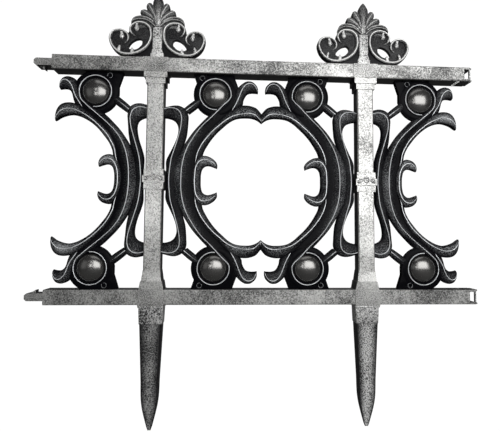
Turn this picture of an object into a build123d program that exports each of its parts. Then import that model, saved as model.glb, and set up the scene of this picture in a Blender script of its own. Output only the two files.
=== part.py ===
from build123d import *
import os

os.makedirs("parts", exist_ok=True)

# Garden border fence panel. x runs along the fence, z is up and the front faces -y.
# The origin lies midway between the posts on the underside of the bottom rail, at the ground line.

# Layout of the panel, in millimetres
post_spacing = 305.0
rail_spacing = 330.0
joint_shift = 7.5
seat_clearance = 0.3

# Rails: hollow boxes with a tongue on the left and a socket on the right
rail_depth = 21.0
rail_height = 21.0
rail_wall = 2.2
rail_edge_round = 1.0
tongue_length = 26.0
tongue_height = 10.6
tongue_nose = 3.0
barb_length = 7.0
barb_drop = 4.4
shoulder_length = 3.6
socket_window_width = 7.0
socket_window_margin = 3.2
socket_lip_length = 3.4
rail_boss_width = 36.0
rail_boss_proud = 0.8
ground_boss_drop = 1.5

# Posts: a square shaft with stepped mouldings
shaft_width = 24.0
shaft_depth = 18.0
shaft_chamfer = 1.6
capital_width = 33.0
capital_height = 8.5
neck_width = 27.6
neck_height = 8.5
collar_width = 31.0
collar_height = 9.6
collar_step_width = 27.6
collar_step_height = 9.4
base_width = 34.0
base_height = 11.5
base_neck_width = 30.0
base_neck_height = 15.0
base_neck_foot_width = 28.0
base_depth = 21.0
broad_depth = 22.0
narrow_depth = 20.0

# Stakes
stake_top_width = 34.5
stake_top_depth = 18.0
stake_foot_width = 21.5
stake_foot_depth = 12.0
stake_taper_length = 133.0
stake_point_length = 38.0
stake_point_width = 5.0
stake_point_depth = 3.5
stake_lip_height = 2.4
stake_lip_width = 35.5
stake_bevel = 2.6
stake_point_bevel = 0.8
flute_width = 12.0
flute_foot_width = 8.4
flute_depth = 2.6
flute_start = 22.0
flute_end = 118.0

# Scrolls: drawn for a half bay of 154 by 154 and stretched to the bay that the rails and posts leave
drawn_reach = 154.0
drawn_rise = 154.0
web_thickness = 8.0
crest_width = 2.6
crest_rise = 2.2
ring_from_post = 86.0
ring_from_rail = 29.0
ring_radius = 32.0
ring_crest_radius = 22.8
ring_crest_end = 285.0
tab_depth = 4.0
eye_from_post = 66.5
tab_from_post = 56.0
tab_length = 45.0
eye_from_rail = 5.2
eye_dish_radius = 3.4
eye_hole_radius = 1.7

# Domed bosses in the rings
boss_radius = 20.0
boss_rim_thickness = 7.0
boss_dome_height = 9.0
boss_shoulder_radius = 12.4
boss_shoulder_height = 5.9

# Finials
stem_width = 13.0
stem_depth = 11.0
stem_height = 47.5
stem_foot_width = 18.6
stem_foot_depth = 13.0
stem_foot_height = 9.0
stem_flare_height = 6.0
finial_web = 8.0
finial_crest = 2.0
finial_crest_width = 3.0
arch_crest_width = 2.4
groove_width = 1.2
groove_depth = 1.0
pearl_radius = 2.6
pearl_places = ((28.8, 45.0), (49.8, 32.0))
cusp_radius = 1.9
cusp_places = ((54.0, 14.6), (35.8, 12.4))

# Heights and places that follow from the sizes above
half_bay = post_spacing / 2
panel_pitch = 2 * post_spacing
body_left = joint_shift - panel_pitch / 2
body_right = joint_shift + panel_pitch / 2
opening_bottom = rail_height
opening_height = rail_spacing - rail_height
opening_top = opening_bottom + opening_height
rail_top = opening_top + rail_height
scroll_middle = opening_bottom + opening_height / 2
web_level = web_thickness / 2
crest_level = web_level + crest_rise
post_side = shaft_width / 2 * drawn_reach / half_bay
cut_through = 3 * rail_wall


def at(along, up):
    """A point of the drawn half bay, stretched to the real one."""
    return (along * half_bay / drawn_reach, up * (opening_height / 2) / drawn_rise)


def arcs(*points):
    """A chain of arcs through an odd number of points."""
    chain = ThreePointArc(*points[0:3])
    for k in range(2, len(points) - 2, 2):
        chain += ThreePointArc(*points[k:k + 3])
    return chain


def curve(*points):
    """A chain of arcs, each through three drawn points in turn."""
    return arcs(*[at(*point) for point in points])


def straight(*points):
    """Straight lines through drawn points."""
    return Polyline(*[at(*point) for point in points])


def box(width, depth, height, x, z_low, y=0.0):
    """A box on the post's or rail's own centre, standing on z_low."""
    return Pos(x, y, z_low + height / 2) * Box(width, depth, height)


def frustum(low, high, z_low, height, x):
    """A tapered block between two width and depth pairs."""
    lower = Pos(x, 0, z_low) * Rectangle(*low)
    upper = Pos(x, 0, z_low + height) * Rectangle(*high)
    return loft([lower, upper], ruled=True)


def rail(z_low, barb_side, tab_side):
    """A hollow rail with its tongue, socket and the thicker blocks where the posts cross it."""
    centre = z_low + rail_height / 2
    length = body_right - body_left
    outer = box(length, rail_depth, rail_height, (body_left + body_right) / 2, z_low)
    outer = chamfer(outer.edges().filter_by(Axis.X), rail_edge_round)
    for post_x in (-half_bay, half_bay):
        outer += post_block(z_low, post_x)
    outer += tongue(centre, barb_side)
    cavity_length = length - shoulder_length
    outer -= box(cavity_length, rail_depth - 2 * rail_wall, rail_height - 2 * rail_wall,
                 body_right - cavity_length / 2, z_low + rail_wall)
    outer += socket_lips(z_low)
    outer -= box(socket_window_width, cut_through, rail_height - 2 * socket_window_margin,
                 body_right - rail_wall - socket_window_width / 2, z_low + socket_window_margin, -rail_depth / 2)
    outer -= box(barb_length + 2 * seat_clearance, tongue_depth() + 2 * seat_clearance, cut_through,
                 body_right - barb_offset(), centre - cut_through / 2 + barb_side * rail_height / 2)
    for post_x in (-half_bay, half_bay):
        for side in (-1, 1):
            slot_x = post_x + side * (tab_start() + tab_end()) / 2
            outer -= box(tab_end() - tab_start() + 2 * seat_clearance, web_thickness + 2 * seat_clearance,
                         cut_through, slot_x, centre - cut_through / 2 + tab_side * rail_height / 2)
    return outer


def post_block(z_low, post_x):
    """The slightly proud block of a rail at a post; it stands below the rail only at the ground."""
    drop = ground_boss_drop if z_low == 0 else 0.0
    return box(rail_boss_width, rail_depth + 2 * rail_boss_proud, rail_height + drop, post_x, z_low - drop)


def tongue_depth():
    """The tongue fits between the socket's walls."""
    return rail_depth - 2 * rail_wall - 2 * seat_clearance


def barb_offset():
    """From the socket's mouth to the middle of the barb of a panel that is pushed home."""
    return tongue_length - tongue_nose - barb_length


def tongue(centre, barb_side):
    """The tongue, its tapered nose and the snap barb on one side of it."""
    depth = tongue_depth()
    x_root = body_left
    nose_height = tongue_height / 2
    profile = Polyline(
        (x_root + shoulder_length, -tongue_height / 2),
        (x_root - tongue_length + tongue_nose, -tongue_height / 2),
        (x_root - tongue_length, -nose_height / 2),
        (x_root - tongue_length, nose_height / 2),
        (x_root - tongue_length + tongue_nose, tongue_height / 2),
        (x_root + shoulder_length, tongue_height / 2),
        close=True,
    )
    face = make_face(Plane.XZ * Pos(0, centre) * profile)
    solid = extrude(face, amount=depth / 2, both=True)
    barb_x = x_root - barb_offset()
    surface = centre + barb_side * tongue_height / 2
    barb_line = Polyline(
        (barb_x - barb_length / 2, surface),
        (barb_x + barb_length / 2, surface + barb_side * barb_drop),
        (barb_x + barb_length / 2, surface),
        close=True,
    )
    barb = extrude(make_face(Plane.XZ * barb_line), amount=depth / 4, both=True)
    return solid + barb


def socket_lips(z_low):
    """The upper and lower walls reach a little past the socket's mouth, over the next shoulder."""
    x = body_right + socket_lip_length / 2
    lips = box(socket_lip_length, tongue_depth(), rail_wall, x, z_low)
    return lips + box(socket_lip_length, tongue_depth(), rail_wall, x, z_low + rail_height - rail_wall)


def tab_start():
    """Post side of the tab that a scroll pushes into a rail."""
    return at(tab_from_post, 0)[0]


def tab_end():
    """Bay side of the same tab."""
    return at(tab_from_post + tab_length, 0)[0]


def post(post_x):
    """A post between the rails, built up from its shaft and mouldings."""
    shaft = box(shaft_width, shaft_depth, opening_height, post_x, opening_bottom)
    shaft = chamfer(shaft.edges().filter_by(Axis.Z), shaft_chamfer)
    base = frustum((base_width, base_depth), (base_neck_width, base_depth), opening_bottom, base_height, post_x)
    base_neck = frustum((base_neck_foot_width, narrow_depth), (shaft_width, shaft_depth),
                        opening_bottom + base_height, base_neck_height, post_x)
    capital_low = opening_top - capital_height
    capital = box(capital_width, broad_depth, capital_height, post_x, capital_low)
    neck = box(neck_width, narrow_depth, neck_height, post_x, capital_low - neck_height)
    steps_height = collar_height + 2 * collar_step_height
    steps = box(collar_step_width, narrow_depth, steps_height, post_x, scroll_middle - steps_height / 2)
    collar = box(collar_width, broad_depth, collar_height, post_x, scroll_middle - collar_height / 2)
    return shaft + base + base_neck + capital + neck + steps + collar


def stake(post_x):
    """A tapered stake with bevelled long edges, a fluted face and a blunt point."""
    top = -ground_boss_drop
    shoulder = top - stake_taper_length
    lip = box(stake_lip_width, rail_depth + 2 * rail_boss_proud, stake_lip_height, post_x, top - stake_lip_height)
    upper = bevelled(stake_top_width, stake_top_depth, post_x, top - stake_lip_height)
    lower = bevelled(stake_foot_width, stake_foot_depth, post_x, shoulder)
    tip = bevelled(stake_point_width, stake_point_depth, post_x, shoulder - stake_point_length,
                   stake_point_bevel)
    body = loft([upper, lower], ruled=True) + loft([lower, tip], ruled=True)
    for side in (-1, 1):
        body -= flute(post_x, top, side)
    return lip + body


def bevelled(width, depth, x, z, bevel=stake_bevel):
    """A rectangle with cut corners at one height."""
    return Pos(x, 0, z) * chamfer(Rectangle(width, depth).vertices(), bevel)


def flute(post_x, top, side):
    """The recess down one face of a stake, narrowing with it."""
    length = flute_end - flute_start
    slope = (stake_top_depth - stake_foot_depth) / 2 / stake_taper_length
    face_high = stake_top_depth / 2 - slope * flute_start
    face_low = stake_top_depth / 2 - slope * flute_end
    high = Pos(post_x, side * face_high, top - flute_start) * Rectangle(flute_width, 2 * flute_depth)
    low = Pos(post_x, side * face_low, top - flute_start - length) * Rectangle(flute_foot_width, 2 * flute_depth)
    return loft([high, low], ruled=True)


def leaf_band(joined):
    """The big C: from the middle height out to its leaf, which joins its neighbour's or ends in a point."""
    if joined:
        lines = curve((66, 0), (66.4, 20), (68.9, 39.5), (74.6, 50.5), (81.5, 61), (89.5, 70.5), (98, 78.5),
                      (106.5, 85.8), (115, 90.6), (123, 92.4), (131, 92.9), (143.5, 91.6), (drawn_reach, 84.8))
        lines += straight((drawn_reach, 84.8), (drawn_reach, 99.5))
        lines += curve((drawn_reach, 99.5), (147.5, 107), (137.5, 110.2), (123.5, 109.4), (109.5, 104.5))
        lines += straight((109.5, 104.5), (106, 112), (86, 110), (77, 93.5))
        lines += curve((77, 93.5), (66, 82), (55, 70), (46, 57), (38, 43), (27.5, 25), (23.5, 0))
        lines += straight((23.5, 0), (66, 0))
    else:
        lines = curve((57.2, 0), (57.8, 25), (61, 42), (66, 52), (73.2, 61.8), (81.5, 71.5), (91, 79.8),
                      (104, 87.8), (118, 91.3), (131.5, 88.4), (142.2, 81.7))
        lines += curve((142.2, 81.7), (143.2, 95.5), (134, 107), (124, 108.6), (114.5, 106.8))
        lines += straight((114.5, 106.8), (106, 112), (84, 110), (70, 92))
        lines += curve((70, 92), (60, 82), (50, 70.5), (42.5, 60.5), (35, 47), (26, 25), (22.5, 0))
        lines += straight((22.5, 0), (57.2, 0))
    return make_face(lines)


def small_leaf(joined):
    """The little curled leaf between the big one and the rail."""
    if joined:
        lines = curve((126.4, 109), (126.8, 116), (130.2, 125), (134.5, 129), (139.8, 130), (144.5, 129.8),
                      (148.6, 129.2))
        lines += curve((148.6, 129.2), (148.4, 137.5), (141.8, 146), (134.5, 147.2), (127, 144.3), (123, 141),
                       (119.5, 137))
        lines += straight((119.5, 137), (104, 134), (104, 110), (126.4, 109))
    else:
        lines = curve((115.4, 107.4), (117.8, 115), (121.8, 124.6), (125.5, 127.8), (130, 128.6), (133.5, 128.2),
                      (137, 127.4))
        lines += curve((137, 127.4), (138.6, 135), (135.8, 143.2), (129.5, 146.8), (121.5, 145.8), (115, 142),
                       (109.5, 136))
        lines += straight((109.5, 136), (100, 134), (100, 110), (115.4, 107.4))
    return make_face(lines)


def lyre(joined):
    """The band that leaves the post, bows out and runs down beside the collar."""
    if joined:
        lines = curve((post_side, 105), (26.5, 108.4), (38, 106.6), (45.4, 99.5), (47, 89), (46.2, 77), (45, 65.5),
                      (41.5, 53), (34, 30))
        lines += straight((34, 30), (30.5, 0), (15.8, 0), (15.8, 28))
        lines += curve((15.8, 28), (20, 36), (26, 48), (30.5, 60), (32.6, 72), (28.5, 84), (post_side, 89.5))
        lines += straight((post_side, 89.5), (post_side, 105))
    else:
        lines = curve((post_side, 108), (25, 110.4), (36, 106.8), (40.4, 99), (40.9, 90), (39.8, 78), (38.8, 66),
                      (36.5, 53.5), (32, 32))
        lines += straight((32, 32), (29, 0), (15.8, 0), (15.8, 33))
        lines += curve((15.8, 33), (18.8, 43), (22.8, 54.5), (25.6, 65.5), (26.6, 74.5), (23.5, 84.5),
                       (post_side, 89.5))
        lines += straight((post_side, 89.5), (post_side, 108))
    return make_face(lines)


def inner_hook(joined):
    """The hook that curls into the C beside the middle of the bay."""
    if joined:
        lines = curve((63, 31), (72.5, 34.2), (83, 31), (89.8, 23.5), (89.4, 17))
        lines += curve((89.4, 17), (76.5, 21), (66.3, 8))
        lines += straight((66.3, 8), (58, 8), (58, 31), (63, 31))
    else:
        lines = curve((56.5, 32), (65.5, 35.2), (75.2, 31.8), (80.1, 24), (79.3, 17.4))
        lines += curve((79.3, 17.4), (67.5, 20.7), (57.6, 8))
        lines += straight((57.6, 8), (50, 8), (50, 32), (56.5, 32))
    return make_face(lines)


def strut(joined):
    """The short bar from the ring to the lyre."""
    if joined:
        return make_face(straight((62, 121.5), (40, 104.5), (48, 96.5), (66, 111), (62, 121.5)))
    return make_face(straight((56, 121.5), (35, 104.5), (41.5, 96.5), (61, 110), (56, 121.5)))


def gusset(joined):
    """The foot that joins the ring to the rail."""
    if joined:
        return make_face(straight((60.3, 122), (60.3, 132), (58.5, 141), (54, drawn_rise), (113, drawn_rise),
                                  (119.5, 137), (90, 118), (60.3, 122)))
    return make_face(straight((54, 122), (54, 134), (51, 143), (47.5, drawn_rise), (98, drawn_rise),
                              (109.5, 136), (85, 118), (54, 122)))


def ring_centre():
    """Centre of the ring in the stretched half bay."""
    return (at(ring_from_post, 0)[0], opening_height / 2 - ring_from_rail)


def upper_outline(joined):
    """Outline of the upper half of a scroll."""
    centre = Pos(*ring_centre())
    face = leaf_band(joined) + small_leaf(joined) + lyre(joined)
    face += inner_hook(joined) + strut(joined) + gusset(joined)
    face += centre * Circle(ring_radius)
    return face - centre * Circle(boss_radius + seat_clearance)


def crest(*points):
    """A narrow strip along a drawn line."""
    return trace(curve(*points), line_width=crest_width)


def upper_crests(joined):
    """The raised lines of the upper half of a scroll."""
    centre = Pos(*ring_centre())
    ring = centre * Circle(ring_crest_radius - crest_width / 2)
    ring += centre * trace(CenterArc((0, 0), ring_crest_radius, 0, ring_crest_end), line_width=crest_width)
    lyre_end = post_side + crest_width / 2
    if joined:
        lines = crest((108.9, 126), (105.5, 117), (99, 110.2), (80, 90.8), (69.6, 81), (61, 70.7), (53.8, 60),
                      (46.2, 46), (41.2, 31), (38.5, 15), (38, 0))
        lines += crest((lyre_end, 101.8), (23, 103.8), (32, 101.2), (37.2, 92), (37.3, 82), (34.2, 66),
                       (31, 54.5), (23.8, 31), (20.7, 0))
        lines += crest((87.6, 21.2), (77.2, 28.8), (67, 28.7), (59.2, 19), (57.4, 0))
        lines += crest((58.8, 30), (62.3, 41.8), (68, 52.8), (75.6, 63.2), (84.4, 72.8), (93.6, 80.8),
                       (103.5, 88.9), (121.5, 96.4), (138.5, 97.8), (146.5, 94.6), (drawn_reach - crest_width, 87.5))
        lines += crest((112, 105), (118.2, 115), (123.2, 129.2), (130, 140), (136.6, 142.6), (142.5, 140.6),
                       (146.6, 134.6))
    else:
        lines = crest((108.7, 124), (105, 111.8), (95.8, 103), (80, 90), (68.3, 80), (58.1, 70), (50.3, 60),
                      (43.2, 46), (38.9, 31), (36.6, 15), (36, 0))
        lines += crest((lyre_end, 102), (22.5, 103.8), (30.5, 101.2), (35.7, 92), (35.7, 80), (32, 66),
                       (28.5, 54.5), (21.9, 31), (19, 0))
        lines += crest((78.2, 21.4), (71.2, 28.4), (62, 27.9), (54, 17.8), (51.5, 0))
        lines += crest((54.6, 30), (57.2, 43.5), (61.9, 53.5), (68.5, 63.8), (77, 73), (86.7, 81.8), (97, 89.4),
                       (107, 94.8), (120.5, 98.8), (131.5, 97), (140.8, 86.8))
        lines += crest((107, 106), (113.6, 116), (118.4, 129), (123.6, 137.2), (128.8, 140.4), (133.6, 139.4),
                       (136.8, 134.6))
    return ring + lines - centre * Circle(boss_radius + seat_clearance)


def scroll(post_x, side, joined):
    """A half-bay scroll: web, crests on both faces, tabs for the rails and the dished eyes."""
    outline = upper_outline(joined)
    lines = upper_crests(joined)
    web = extrude(outline, amount=web_level, both=True)
    raised = extrude(lines, amount=crest_level, both=True)
    half = web + raised
    tab_height = opening_height / 2 + tab_depth
    tab = Pos((tab_start() + tab_end()) / 2, opening_height / 2, 0) * \
        Box(tab_end() - tab_start(), 2 * tab_depth, web_thickness - 2 * seat_clearance)
    half += tab
    eye_place = (at(eye_from_post, 0)[0], opening_height / 2 - eye_from_rail)
    half -= Pos(*eye_place, 0) * Cylinder(eye_hole_radius, 3 * crest_level)
    for face in (-1, 1):
        half -= Pos(*eye_place, face * web_level) * Sphere(eye_dish_radius)
    whole = half + mirror(half, Plane.XZ)
    frame = Plane(origin=(post_x, 0, scroll_middle), x_dir=(side, 0, 0), z_dir=(0, -side, 0))
    return frame.location * whole


def boss(x, z):
    """A lens-shaped boss that fills the ring's hole and domes out on both faces."""
    rim = boss_rim_thickness / 2
    line = Polyline((0, -rim - boss_dome_height), (0, rim + boss_dome_height))
    dome = ThreePointArc(
        (0, rim + boss_dome_height),
        (boss_shoulder_radius, rim + boss_shoulder_height),
        (boss_radius, rim),
    )
    under = mirror(dome, Plane.XZ)
    profile = make_face(line + dome + Line((boss_radius, rim), (boss_radius, -rim)) + under)
    return Pos(x, 0, z) * revolve(profile, Axis.Y)


def palmette():
    """Right half of the leaf fan: a pointed middle lobe and three rounded ones beside it."""
    lines = arcs((0, 97.5), (5.6, 91.5), (8.4, 82.8))
    lines += arcs((8.4, 82.8), (14.8, 82.3), (16.5, 73.6))
    lines += arcs((16.5, 73.6), (23.2, 72.3), (25.3, 64.4))
    lines += arcs((25.3, 64.4), (36.3, 61), (38.5, 50))
    lines += Polyline((38.5, 50), (30, 46), (0, 46), (0, 97.5))
    return make_face(lines)


def scroll_disc():
    """Right-hand C-scroll of a finial: the body inside its rim, with the hole through it."""
    lines = arcs((7.2, 44), (8.2, 28.5), (15, 16.5), (25.2, 8.4), (38, 4.6), (57.5, 8.6), (68.4, 23.5), (69, 36),
                 (60.5, 43.7), (50.5, 43.3), (43, 37.5))
    lines += Line((43, 37.5), (40.6, 41.5))
    lines += arcs((40.6, 41.5), (36.5, 52.3), (26, 56), (14.3, 52.4), (7.2, 44))
    hole = arcs((22.3, 22), (24.2, 29.9), (33, 28.4), (39.5, 23.3), (42.5, 16.2), (31.8, 13.6), (22.3, 22))
    return make_face(lines) - make_face(hole)


def finial_crests():
    """Raised lines of the right half: the C-scroll's rim with both its curls, and the arch over it."""
    rim = arcs((33, 34.4), (38.3, 38.8), (39.4, 45.2), (34.6, 51.6), (26, 54.2), (16.2, 51.8), (9.6, 43.5),
               (10.4, 26.8), (17.5, 16.2), (26.6, 9.8), (37.8, 6.4), (56.5, 10.2), (66.6, 23.5), (67.3, 35),
               (59.7, 41.9), (49.6, 41.2), (42.5, 34.8), (41.9, 27.5), (47, 22.6))
    arch = arcs((3.6, 48), (13.5, 56.6), (25.6, 59.4), (32, 58.2), (37.2, 54.2))
    return trace(rim, line_width=finial_crest_width) + trace(arch, line_width=arch_crest_width)


def finial_grooves(level):
    """The grooves that part the lobes of the right half, on both faces."""
    lines = arcs((1.2, 66), (5.2, 75), (8.6, 84))
    lines += arcs((4.5, 62.5), (10.4, 68.6), (17.2, 74.6))
    lines += arcs((8, 60.5), (16.5, 63.5), (26, 65))
    face = trace(lines, line_width=groove_width)
    cuts = extrude(face, amount=level + groove_depth, both=True)
    return cuts - extrude(face, amount=level - groove_depth, both=True)


def finial(post_x):
    """A palmette on a stem between two C-scrolls with pearls, drawn upwards from the top rail."""
    web = Polyline((6, 0), (44, 0), (50, 7), (22, 14), (9, 30), (6, 30), (6, 0))
    outline = palmette() + scroll_disc() + make_face(web)
    level = finial_web / 2
    half = extrude(outline, amount=level, both=True) - finial_grooves(level)
    half += extrude(finial_crests(), amount=level + finial_crest, both=True)
    for radius, places in ((pearl_radius, pearl_places), (cusp_radius, cusp_places)):
        for x, up in places:
            half += Pos(x, up, 0) * Cylinder(radius, finial_web + 2 * finial_crest)
    stem = Pos(0, stem_height / 2, 0) * Box(stem_width, stem_height, stem_depth)
    foot = Pos(0, stem_foot_height / 2, 0) * Box(stem_foot_width, stem_foot_height, stem_foot_depth)
    flare_low = Plane.XZ.offset(-stem_foot_height) * Rectangle(stem_foot_width, stem_foot_depth)
    flare_high = Plane.XZ.offset(-stem_foot_height - stem_flare_height) * Rectangle(stem_width, stem_depth)
    flare = loft([flare_low, flare_high], ruled=True)
    whole = half + mirror(half, Plane.YZ) + stem + foot + flare
    return Plane(origin=(post_x, 0, rail_top), x_dir=(1, 0, 0), z_dir=(0, -1, 0)).location * whole


def save(name, solid):
    """Write one node."""
    export_step(solid, os.path.join("parts", name + ".step"))


def main():
    """Build every piece and write it under its own name."""
    save("top_rail", rail(opening_top, -1, -1))
    save("bottom_rail", rail(0.0, 1, 1))
    for hand, post_x, outward in (("left", -half_bay, -1), ("right", half_bay, 1)):
        save(hand + "_post", post(post_x))
        save(hand + "_stake", stake(post_x))
        save(hand + "_finial", finial(post_x))
        for place, side in (("outer", outward), ("inner", -outward)):
            save("scroll_" + hand + "_" + place, scroll(post_x, side, place == "inner"))
            x = post_x + side * ring_centre()[0]
            for level, up in (("top", 1), ("bottom", -1)):
                save("boss_" + hand + "_" + place + "_" + level, boss(x, scroll_middle + up * ring_centre()[1]))


main()
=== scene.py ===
"""Dressed model of a garden border fence panel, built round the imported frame."""

import logging
import math
from dataclasses import dataclass
from enum import Enum

import bpy
import numpy as np
from mathutils import Matrix, Vector


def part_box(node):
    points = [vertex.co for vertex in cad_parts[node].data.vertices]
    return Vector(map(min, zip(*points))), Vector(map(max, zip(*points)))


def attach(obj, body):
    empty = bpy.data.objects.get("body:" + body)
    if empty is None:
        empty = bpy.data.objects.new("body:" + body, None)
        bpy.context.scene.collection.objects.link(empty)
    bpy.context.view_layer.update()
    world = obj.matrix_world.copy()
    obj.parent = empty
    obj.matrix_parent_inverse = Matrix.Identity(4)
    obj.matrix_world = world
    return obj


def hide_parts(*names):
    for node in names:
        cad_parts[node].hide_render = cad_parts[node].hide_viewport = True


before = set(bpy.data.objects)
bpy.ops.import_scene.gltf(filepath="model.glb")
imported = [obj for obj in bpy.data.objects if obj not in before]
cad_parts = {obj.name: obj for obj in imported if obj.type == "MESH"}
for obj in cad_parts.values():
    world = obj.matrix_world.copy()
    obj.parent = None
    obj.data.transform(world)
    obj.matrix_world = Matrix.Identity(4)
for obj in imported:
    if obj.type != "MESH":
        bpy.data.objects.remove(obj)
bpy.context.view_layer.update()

log = logging.getLogger("border_fence")

MM = 0.001
BODY = "root"
WELD = 0.00001
SMOOTH_UNDER = math.radians(50)
FLOOR_GAP = 0.2
WHITE = (1.0, 1.0, 1.0, 1.0)

Point = tuple[float, float]
Row = tuple[float, ...]
Place = tuple[float, float, float]
Colour = tuple[float, float, float, float]


class Slot(Enum):
    """Material slots of the record."""

    SILVER = "brushed_silver_plastic"
    SATIN = "satin_black_plastic"
    GLOSS = "gloss_black_plastic"


class Side(Enum):
    """Which way a half bay runs from its post."""

    LEFT = -1
    RIGHT = 1


# Node helpers


class Shader:
    """A node tree with short calls for adding and joining nodes."""

    def __init__(self, tree: bpy.types.NodeTree) -> None:
        """Wraps one node tree."""
        self.tree = tree

    def add(self, kind: str, **values: object) -> bpy.types.Node:
        """Adds a node.

        Args:
            kind: The node's type name.
            values: Attributes set on the node.

        Returns:
            The new node.
        """
        node = self.tree.nodes.new(kind)
        for name, value in values.items():
            setattr(node, name, value)
        return node

    def join(self, source: object, target: object) -> None:
        """Links an output, or puts a plain value, into an input socket."""
        if isinstance(source, bpy.types.NodeSocket):
            self.tree.links.new(source, target)
        else:
            target.default_value = source

    def feed(self, node: bpy.types.Node, **inputs: object) -> None:
        """Joins values or sockets to a node's inputs; an underscore in a name stands for a space."""
        for name, source in inputs.items():
            self.join(source, node.inputs[name.replace("_", " ")])

    def maths(self, operation: str, *inputs: object, clamp: bool = False) -> bpy.types.NodeSocket:
        """Adds a Math node.

        Args:
            operation: The Math node's operation.
            inputs: Sockets or numbers for its inputs.
            clamp: Whether the result is kept between 0 and 1.

        Returns:
            The node's output.
        """
        node = self.add("ShaderNodeMath", operation=operation, use_clamp=clamp)
        for source, target in zip(inputs, node.inputs):
            self.join(source, target)
        return node.outputs[0]

    def ramp(self, value: object, low: object, high: object, start: float = 0.0,
             end: float = 1.0) -> bpy.types.NodeSocket:
        """Maps a value smoothly from one range to another.

        Args:
            value: The socket that is read.
            low: Where the range starts.
            high: Where the range ends.
            start: The result at the start.
            end: The result at the end.

        Returns:
            The mapped value.
        """
        node = self.add("ShaderNodeMapRange", interpolation_type="SMOOTHSTEP")
        self.feed(node, Value=value, From_Min=low, From_Max=high, To_Min=start, To_Max=end)
        return node.outputs["Result"]

    def mix(self, factor: object, first: object, second: object) -> bpy.types.NodeSocket:
        """Mixes two colours by a factor."""
        node = self.add("ShaderNodeMix", data_type="RGBA")
        self.feed(node, Factor=factor, A=first, B=second)
        return node.outputs["Result"]

    def noise(self, place: object, scale: object, detail: float, rough: float) -> bpy.types.NodeSocket:
        """Adds a noise texture."""
        node = self.add("ShaderNodeTexNoise")
        self.feed(node, Vector=place, Scale=scale, Detail=detail, Roughness=rough)
        return node.outputs["Fac"]


def speckle_group() -> bpy.types.NodeTree:
    """Builds the group for rubbed metallic paint: fine grain over slow blotches.

    Returns:
        The node group, with Mask and Grain outputs.
    """
    tree = bpy.data.node_groups.new("rubbed_paint", "ShaderNodeTree")
    face = tree.interface
    for name in ("Coverage", "Softness", "Grain Scale", "Blotch Scale", "Blotch Amount"):
        face.new_socket(name=name, in_out="INPUT", socket_type="NodeSocketFloat")
    for name in ("Mask", "Grain"):
        face.new_socket(name=name, in_out="OUTPUT", socket_type="NodeSocketFloat")
    kit = Shader(tree)
    given = kit.add("NodeGroupInput").outputs
    out = kit.add("NodeGroupOutput").inputs
    place = kit.add("ShaderNodeTexCoord").outputs["Object"]
    grain = kit.noise(place, given["Grain Scale"], 4.0, 0.72)
    blotch = kit.noise(place, given["Blotch Scale"], 3.0, 0.55)
    shift = kit.maths("MULTIPLY", kit.maths("SUBTRACT", blotch, 0.5), given["Blotch Amount"])
    level = kit.maths("ADD", kit.maths("ADD", grain, shift), kit.maths("SUBTRACT", given["Coverage"], 0.5))
    low = kit.maths("SUBTRACT", 0.5, given["Softness"])
    high = kit.maths("ADD", 0.5, given["Softness"])
    kit.join(kit.ramp(level, low, high), out["Mask"])
    kit.join(grain, out["Grain"])
    return tree


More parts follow.
